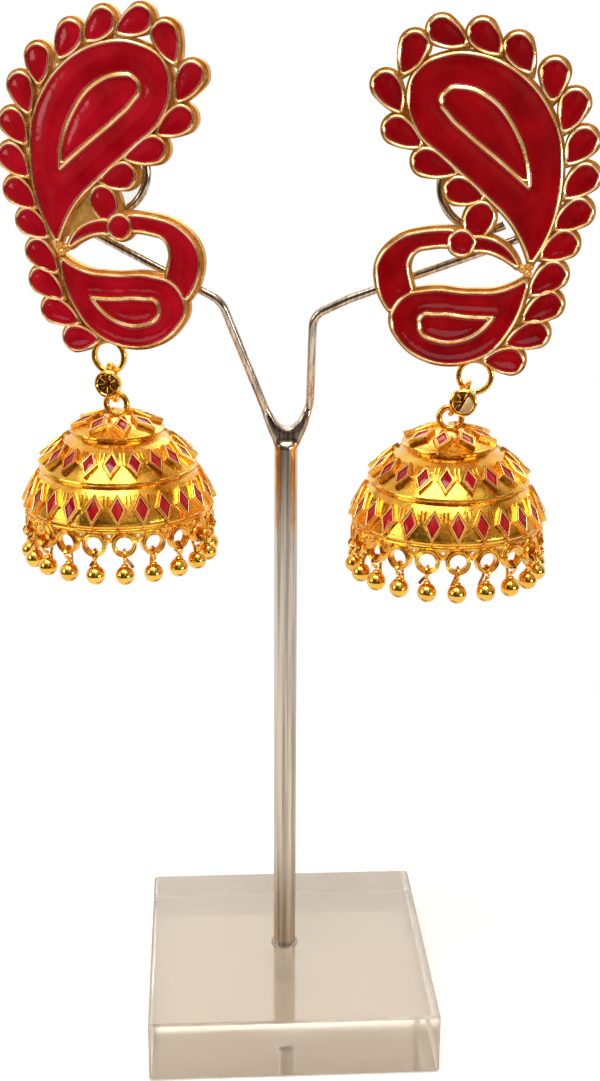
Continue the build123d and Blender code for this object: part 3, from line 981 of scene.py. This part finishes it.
@dataclass
class Earring:
    """One earring: its plate on the stand, its link and its bell with twenty drops."""

    side: Side
    finishes: Finishes
    nodes: dict
    ring_centre: Point
    yaw: float
    bell_origin: Point
    bell_turn: float
    foot: float
    tilt: float
    head_shift: float
    wire_radius: float = 0.195 * MM
    wire_out: float = 0.23 * MM
    wire_up: float = 0.12 * MM
    divider_half: float = 0.3 * MM
    cushion_rise: float = 0.34 * MM
    cushion_sink: float = 0.06 * MM
    cushion_reach: float = 3.2 * MM
    cushion_ripple: float = 0.03 * MM
    ripple_size: float = 3.5 * MM
    edge_climb: float = 0.2 * MM
    edge_reach: float = 0.5 * MM
    grid: float = 0.36 * MM
    solder: float = 0.72 * MM
    tips: tuple[Point, ...] = ((7.75, 17.7, 0.3), (7.45, 16.6, 0.3), (6.65, 17.3, 0.3))
    insets: tuple[float, float] = (0.08 * MM, 0.12 * MM)
    ring_top: float = 1.9
    plate_ring: float = 2.575 * MM
    link_wire: float = 0.45 * MM
    link_bend: float = 1.2 * MM
    link_span: float = 3.55 * MM
    head_down: float = 1.65 * MM
    head_out: float = 1.0 * MM
    drops: int = 20
    drop_at: float = 15.0

    @property
    def name(self) -> str:
        """The side's name."""
        return self.side.value

    @property
    def across(self) -> Vector:
        """Direction of the plate's width."""
        yaw = math.radians(self.yaw)
        return Vector((math.cos(yaw), math.sin(yaw), 0))

    @property
    def outward(self) -> Vector:
        """Direction that the plate faces."""
        yaw = math.radians(self.yaw)
        return Vector((math.sin(yaw), -math.cos(yaw), 0))

    @property
    def plate_frame(self) -> Matrix:
        """Place of the plate: x across, y up, z towards the viewer, origin at its ring."""
        return frame_at(self.across, Vector((0, 0, 1)), self.outward,
                        Vector([c * MM for c in self.ring_centre]))

    @property
    def bell_frame(self) -> Matrix:
        """Place of the bell: x across, y away from the viewer, z up, origin at the lip."""
        return frame_at(self.across, -self.outward, Vector((0, 0, 1)),
                        Vector([c * MM for c in self.bell_origin]))

    def build(self) -> None:
        """Builds and dresses every piece of the earring."""
        self.build_plate()
        self.build_link()
        self.build_bell()
        self.build_drops()

    def build_plate(self) -> None:
        """The cast plate with its cell wires, its enamel and the fittings behind it."""
        f, name = self.finishes, self.name
        casting = copied(self.nodes[f"{name}_plate"])
        enamel = copied(self.nodes[f"{name}_plate_enamel"])
        loops = boundary_loops(enamel, self.outward)
        ring_top = (self.ring_centre[2] + self.ring_top) * MM
        for face in casting.faces:
            face.material_index = 2 if face.calc_center_median().z < ring_top else 1
        self.add_cell_wires(casting, loops)
        mirror = 1 if self.side is Side.RIGHT else -1
        for x, y, z in self.tips:
            solder = started(bmesh.ops.create_uvsphere, u_segments=16, v_segments=10,
                             radius=self.solder)
            absorb(casting, solder, self.plate_frame @ moved(mirror * x, y, z), 1)
        piece(f"{name}_plate_casting", casting, [f.rim_gilt_and_highlight, f.pebbled_gilt, f.bell_gilt],
              "stand", [f"{name}_plate"])
        self.build_plate_enamel(enamel, loops)
        for part, finish, slot in (("comfort_disc", f.clear, "clear_plastic"),
                                   ("clutch", f.ball_gilt, "gilt")):
            node = f"{name}_{part}"
            piece(f"{node}_finished", copied(self.nodes[node]), [finish], "stand", [node])

    def add_cell_wires(self, casting: Mesh, loops: list[Loop]) -> None:
        """Lays rounded wire along every rim, and one wire along each divider inside a cell.

        Args:
            casting: the plate's mesh, which grows.
            loops: outlines of the cells' top faces, with the direction away from the enamel.
        """
        outlines = []
        for loop in loops:
            points = [point for point, _ in loop]
            size = outline_area(points)
            hole = outline_area([point + away * self.wire_out for point, away in loop]) < size
            outlines.append((loop, sum(points, Vector()) / len(points), size, hole))
        for loop, middle, size, hole in outlines:
            # A cell that fills another cell's hole shares the wire of the divider round it.
            lined = any(round_it and size < larger and (middle - place).length < 1.5 * MM
                        for _, place, larger, round_it in outlines)
            if hole or not lined:
                out = self.divider_half if hole else self.wire_out
                track = [point + away * out + self.outward * self.wire_up for point, away in loop]
                # The wires take slot 0, the rim gilt whose paler colour is partly painted
                # highlight.
                absorb(casting, wire_along(track, self.wire_radius, closed=True, steps=1), slot=0)

    def build_plate_enamel(self, enamel: Mesh, loops: list[Loop]) -> None:
        """The enamel of the plate's cells, filled up to a low cushion inside each wire.

        Args:
            enamel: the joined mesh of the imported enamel.
            loops: outlines of the cells' top faces.
        """
        n = self.outward
        top = max(point.dot(n) for loop in loops for point, _ in loop)
        crown = [face for face in enamel.faces if face.normal.dot(n) > 0.9]
        for inset in self.insets:
            bmesh.ops.inset_region(enamel, faces=crown, thickness=inset, use_even_offset=True,
                                   use_boundary=True)
        enamel.normal_update()
        for face in enamel.faces:
            if face.normal.dot(n) < -0.9 and face.calc_center_median().dot(n) > top - 1e-6:
                face.normal_flip()
        low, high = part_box(f"{self.name}_plate_enamel")
        for axis in (self.across, Vector((0, 0, 1))):
            reach = [Vector((x, y, z)).dot(axis) for x in (low.x, high.x)
                     for y in (low.y, high.y) for z in (low.z, high.z)]
            near = min(reach)
            for i in range(1, int((max(reach) - near) / self.grid)):
                cut(enamel, axis * (near + i * self.grid), axis, clear=False, snap=1e-7)
        rim = self.rim_tree(loops)
        for vert in enamel.verts:
            if vert.co.dot(n) < top - 1e-6:
                continue
            away = rim.find(vert.co)[2]
            reach = min(1.0, away / self.cushion_reach)
            rise = self.cushion_rise * (1 - (1 - reach) ** 2) - self.cushion_sink
            rise += self.edge_climb * max(0.0, 1 - away / self.edge_reach) ** 2.5
            ripple = noise.noise(vert.co / self.ripple_size) * self.cushion_ripple * reach
            vert.co += n * (rise + ripple)
        red = self.finishes.enamel_left if self.side is Side.LEFT else self.finishes.enamel_right
        piece(f"{self.name}_plate_enamel_fill", enamel, [red], "stand",
              [f"{self.name}_plate_enamel"], 50)

    def rim_tree(self, loops: list[Loop]) -> KDTree:
        """Makes a search tree of points every 0.05 mm along the cells' outlines.

        Args:
            loops: outlines of the cells' top faces.

        Returns:
            The balanced tree.
        """
        dense = []
        for loop in loops:
            for (a, _), (b, _) in zip(loop, loop[1:] + loop[:1]):
                parts = max(1, int((b - a).length / (0.05 * MM)))
                dense += [a.lerp(b, k / parts) for k in range(parts)]
        tree = KDTree(len(dense))
        for i, point in enumerate(dense):
            tree.insert(point, i)
        tree.balance()
        return tree

    def build_link(self) -> None:
        """The folded wire link and its head, hollow with bent claws."""
        f = self.finishes
        foot, tilt = math.radians(self.foot), math.radians(self.tilt)
        top = Vector((self.plate_ring * math.sin(foot), -self.plate_ring * math.cos(foot), 0))
        down = Vector((math.sin(tilt), -math.cos(tilt), 0))
        out = Vector((0, 0, 1))
        track = []
        for centre, start in ((top + down * self.link_span, 90), (top, 270)):
            for step in range(0, 181, 20):
                angle = math.radians(start - step)
                track.append(centre + down * (self.link_bend * math.cos(angle))
                             + out * (self.link_bend * math.sin(angle)))
        bm = wire_along(track, self.link_wire, sides=3, closed=True, steps=1)
        side = -down.cross(out)
        centre = top + down * self.head_down + side * self.head_shift * MM + out * self.head_out
        absorb(bm, LinkHead(self.side).build(), frame_at(side, out.cross(side), out, centre))
        bmesh.ops.transform(bm, matrix=self.plate_frame, verts=bm.verts)
        piece(f"{self.name}_link_finished", bm, [f.ball_gilt, f.hollow_shade_gilt, f.lip_gilt_and_highlight],
              f"{self.name}_link", [f"{self.name}_link"], 35)

    def build_bell(self) -> None:
        """The tiered bell with its settings, lips and cast rings, and the enamel in it."""
        f, name = self.finishes, f"{self.name}_bell"
        details = BellDetails(self.bell_turn)
        bell = copied(self.nodes[name])
        absorb(bell, details.build(), self.bell_frame)
        # Slot 1, the collets' lips, takes the paler gilt that is partly painted highlight.
        piece(f"{name}_casting", bell, [f.bell_gilt, f.lip_gilt_and_highlight], name, [name], 30)
        enamel = details.build_enamel()
        bmesh.ops.transform(enamel, matrix=self.bell_frame, verts=enamel.verts)
        piece(f"{name}_enamel_fill", enamel, [f.enamel_bell], name, [f"{name}_enamel"],
              40)

    def build_drops(self) -> None:
        """The twenty ball drops on their hooks."""
        seed = random.Random(7 if self.side is Side.LEFT else 19)
        bm = bmesh.new()
        for i in range(self.drops):
            drop = BallDrop(side=seed.choice((-1, 1)), splay=seed.uniform(0.25, 0.95),
                            tail=seed.uniform(0.9, 1.7)).build()
            absorb(bm, drop, self.bell_frame @ turned(self.bell_turn + 360 / self.drops * i, "Z")
                   @ moved(0, -self.drop_at, 0))
        piece(f"{self.name}_drops", bm, [self.finishes.ball_gilt], f"{self.name}_bell",
              [f"{self.name}_drop_{i:02d}" for i in range(1, self.drops + 1)], 50)


# --- the stand ---
@dataclass
class Stand:
    """The acrylic base, the steel post with its brazed fork and the two wire arms."""

    finishes: Finishes
    nodes: dict
    post_x: float = -0.6 * MM
    post_radius: float = 1.95 * MM
    base_top: float = 11.2 * MM
    web_low: float = 103.5 * MM
    web_high: float = 114.0 * MM
    web_voxel: float = 0.15 * MM
    web_saddle: float = 106.4 * MM
    web_join: float = 104.3 * MM
    web_swell: float = 0.16
    web_shrink: float = 0.05
    round_from: float = 106.6 * MM
    round_over: float = 1.6 * MM
    slab_half: float = 1.1 * MM
    saddle: tuple[tuple[float, float], ...] = (
        (-2.5, 104.6), (-2.45, 106.2), (-3.1, 107.7), (-3.6, 108.8), (-4.4, 111.1), (-3.15, 111.7),
        (-2.5, 110.5), (-1.8, 109.5), (-1.2, 109.05), (-0.45, 108.85), (0.3, 108.95), (0.9, 109.4),
        (1.6, 110.2), (2.25, 111.6), (3.45, 111.4), (3.0, 109.8), (2.5, 108.4), (1.9, 107.2),
        (1.5, 106.0), (1.4, 104.6))
    cement: tuple[tuple[float, float], ...] = (
        (1.98, -0.3), (2.45, 0.0), (2.35, 0.35), (2.1, 0.7), (1.96, 0.85), (1.96, -0.3))

    def build(self) -> None:
        """Builds and dresses the stand: base, cement round the post's foot, arms and post."""
        # The base's cream colour is a painted reflection of the backdrop seen through the clear
        # block.
        piece("stand_base_finished", copied(self.nodes["stand_base"]), [self.finishes.acrylic],
              "stand", ["stand_base"])
        collar = lathe(list(self.cement), 40)
        bmesh.ops.translate(collar, vec=(self.post_x, 0, self.base_top), verts=collar.verts)
        piece("post_cement", collar, [self.finishes.clear], "stand", [], 60)
        for name in ("left_arm", "right_arm"):
            piece(f"{name}_finished", copied(self.nodes[name]), [self.finishes.steel], "stand",
                  [name])
        post = copied(self.nodes["stand_post"])
        cut(post, (0, 0, self.web_join), (0, 0, 1))
        absorb(post, self.rounded_web())
        piece("stand_post_finished", post, [self.finishes.steel], "stand",
              ["stand_post"], 40)

    def web_solids(self) -> Mesh:
        """Gathers what the fork is brazed from.

        Returns:
            The top of the post, the roots of both arms and the slab between them.
        """
        joined = bmesh.new()
        for name, top in (("stand_post", self.web_saddle), ("left_arm", self.web_high),
                          ("right_arm", self.web_high)):
            part = copied(self.nodes[name])
            for height, side in ((self.web_low, -1), (top, 1)):
                cut(part, (0, 0, height), (0, 0, side))
                open_edges = [edge for edge in part.edges if edge.is_boundary]
                if open_edges:
                    bmesh.ops.holes_fill(part, edges=open_edges, sides=0)
            absorb(joined, part)
        slab = bmesh.new()
        slab.faces.new([slab.verts.new((x * MM, -self.slab_half, z * MM)) for x, z in self.saddle])
        thicken(slab, (0, 2 * self.slab_half, 0))
        absorb(joined, slab)
        return joined

    def melted(self, solids: Mesh) -> Mesh:
        """Melts overlapping solids into one skin.

        Args:
            solids: the solids, which are freed.

        Returns:
            The skin.
        """
        holder = as_object("web", solids)
        mesh = holder.data
        melt = holder.modifiers.new("melt", "REMESH")
        melt.mode = "VOXEL"
        melt.voxel_size = self.web_voxel
        graph = bpy.context.evaluated_depsgraph_get()
        skin = bpy.data.meshes.new_from_object(holder.evaluated_get(graph))
        bpy.data.objects.remove(holder)
        web = bmesh.new()
        web.from_mesh(skin)
        bpy.data.meshes.remove(skin)
        bpy.data.meshes.remove(mesh)
        return web

    def rounded_web(self) -> Mesh:
        """Smooths the melted fork and lets it run into the round tube of the post.

        Returns:
            The fork, open below, where it meets the post.
        """
        web = self.melted(self.web_solids())
        for _ in range(26):
            bmesh.ops.smooth_vert(web, verts=web.verts, factor=0.5, use_axis_x=True,
                                  use_axis_y=True, use_axis_z=True)
        middle = (self.web_low + self.web_high) / 2
        half = (self.web_high - self.web_low) / 2
        web.normal_update()
        for vert in web.verts:
            near = 1 - min(1.0, abs(vert.co.z - middle) / half)
            swell = self.web_swell * min(1.0, near * 2.4) - self.web_shrink
            vert.co += vert.normal * swell * MM
            tube = min(1.0, max(0.0, (self.round_from - vert.co.z) / self.round_over))
            tube = tube * tube * (3 - 2 * tube)
            radius = math.hypot(vert.co.x - self.post_x, vert.co.y)
            if radius > 0.5 * MM:
                grow = 1 + tube * (self.post_radius / radius - 1)
                vert.co.x = self.post_x + (vert.co.x - self.post_x) * grow
                vert.co.y *= grow
        cut(web, (0, 0, self.web_join), (0, 0, -1))
        return web


# --- camera, floor and light ---
@dataclass(frozen=True)
class Lamp:
    """A rectangular soft box that points at the part."""

    name: str
    place: Point
    size: tuple[float, float]
    power: float

    def build(self) -> None:
        """Hangs the lamp."""
        data = bpy.data.lights.new(self.name, "AREA")
        data.shape = "RECTANGLE"
        data.size, data.size_y = self.size
        data.energy = self.power
        lamp = bpy.data.objects.new(self.name, data)
        lamp.location = self.place
        aim = Vector((0, 0, 0.1)) - Vector(self.place)
        lamp.rotation_euler = aim.to_track_quat("-Z", "Y").to_euler()
        bpy.context.scene.collection.objects.link(lamp)


@dataclass
class Studio:
    """Plain pale floor, soft light and the camera, in metres and degrees."""

    camera_at: Point = (-14.244 * MM, -271.513 * MM, 181.370 * MM)
    yaw: float = 3.386
    pitch: float = 18.742
    roll: float = 0.332
    lens_mm: float = 56.48
    floor_radius: float = 0.30
    lamps: tuple[Lamp, ...] = (
        Lamp("key", (-0.14, -0.34, 0.97), (0.85, 0.42), 6.0),
        Lamp("fill", (0.62, -0.6, 0.08), (0.4, 0.15), 1.9),
        Lamp("side", (-0.74, -0.26, 0.3), (0.4, 0.4), 1.3),
        Lamp("rear", (0.1, 0.6, 0.6), (0.5, 0.5), 1.6))

    def build(self) -> None:
        """Makes the whole studio."""
        self.build_camera()
        self.build_floor()
        self.build_world()
        for lamp in self.lamps:
            lamp.build()
        bpy.context.scene.view_settings.view_transform = "Standard"

    def build_camera(self) -> None:
        """The camera, level with the earrings and looking down a little."""
        data = bpy.data.cameras.new("view")
        data.lens = self.lens_mm
        data.sensor_width = 36.0
        data.clip_start = 0.01
        data.clip_end = 20.0
        camera = bpy.data.objects.new("view", data)
        camera.matrix_world = (
            Matrix.Translation(self.camera_at) @ turned(-self.yaw, "Z")
            @ turned(90 - self.pitch, "X") @ turned(self.roll, "Z"))
        bpy.context.scene.collection.objects.link(camera)
        bpy.context.scene.camera = camera

    def build_floor(self) -> None:
        """The round floor, just under the base."""
        floor = as_object("floor", started(bmesh.ops.create_circle, cap_ends=True, segments=96,
                                           radius=self.floor_radius))
        floor.location.z = -0.05 * MM
        floor.data.materials.append(WhiteSweep().build())

    def build_world(self) -> None:
        """White behind the part; the room in front of it, which the metal mirrors, is warm grey."""
        world = bpy.data.worlds.new("studio")
        bpy.context.scene.world = world
        world.use_nodes = True
        world.node_tree.nodes.clear()
        node = partial(add, world.node_tree)
        ray = node("LightPath")
        place = node("TexCoord")
        axes = node("SeparateXYZ", {0: place.outputs["Generated"]})
        tall = node("MapRange", {"From Min": -1.0, "From Max": 1.0, "Value": axes.outputs["Z"]})
        walls = node("ValToRGB", {
            "stops": ((0.0, "6B5A4A"), (0.32, "463A30"), (0.5, "5E5042"), (0.66, "8E8274"),
                      (0.8, "CFC8BE"), (1.0, "F6F4F0")), 0: tall})
        back = node("MapRange", {"interpolation_type": "SMOOTHSTEP", "From Min": 0.0,
                                 "From Max": 0.55, "Value": axes.outputs["Y"]})
        squash = node("Mapping", {"Scale": (1.0, 1.0, 0.45), "Vector": place.outputs["Generated"]})
        things = node("TexNoise", {"Scale": 3.4, "Detail": 2.0, "Roughness": 0.45,
                                   "Vector": squash})
        shapes = node("ValToRGB", {
            "stops": ((0.40, "3A2A1E"), (0.47, "8C8278"), (0.54, "C9C4BC"), (0.62, "FFFFFF")),
            0: things})
        dressed = node("VectorMath", {"operation": "MULTIPLY", 0: walls, 1: shapes})
        lifted = node("VectorMath", {"operation": "SCALE", "Scale": 1.5, 0: dressed})
        white = node("Background", {"Color": "FFFFFF", "Strength": 1.0})
        room = node("Background", {"Strength": 1.0, "Color": lifted})
        shown = node("MixShader", {0: back, 1: room, 2: white})
        soft = node("Background", {"Color": "F4F0EA", "Strength": 0.5})
        glossy = node("MixShader", {0: ray.outputs["Is Glossy Ray"], 1: soft, 2: shown})
        direct = node("Math", {"operation": "MAXIMUM", 0: ray.outputs["Is Camera Ray"],
                               1: ray.outputs["Is Transmission Ray"]})
        mix = node("MixShader", {0: direct, 1: glossy, 2: white})
        node("OutputWorld", {"Surface": mix})


def main() -> None:
    """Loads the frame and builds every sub-assembly."""
    logging.basicConfig(level=logging.INFO, format="%(message)s")
    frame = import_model()
    nodes = frame["nodes"]
    finishes = Finishes()
    Stand(finishes, nodes).build()
    Earring(Side.LEFT, finishes, nodes, ring_centre=(-29.37, 0.6, 121.0), yaw=-19.0,
            bell_origin=(-28.4129, 0.270452, 95.9476), bell_turn=24.0, foot=6.0, tilt=9.0,
            head_shift=-0.15).build()
    Earring(Side.RIGHT, finishes, nodes, ring_centre=(28.89, -10.2, 119.76), yaw=-12.0,
            bell_origin=(25.3012, -9.43718, 95.626), bell_turn=29.0, foot=-33.0, tilt=-28.5,
            head_shift=0.7).build()
    Studio().build()


if __name__ == "__main__":
    main()
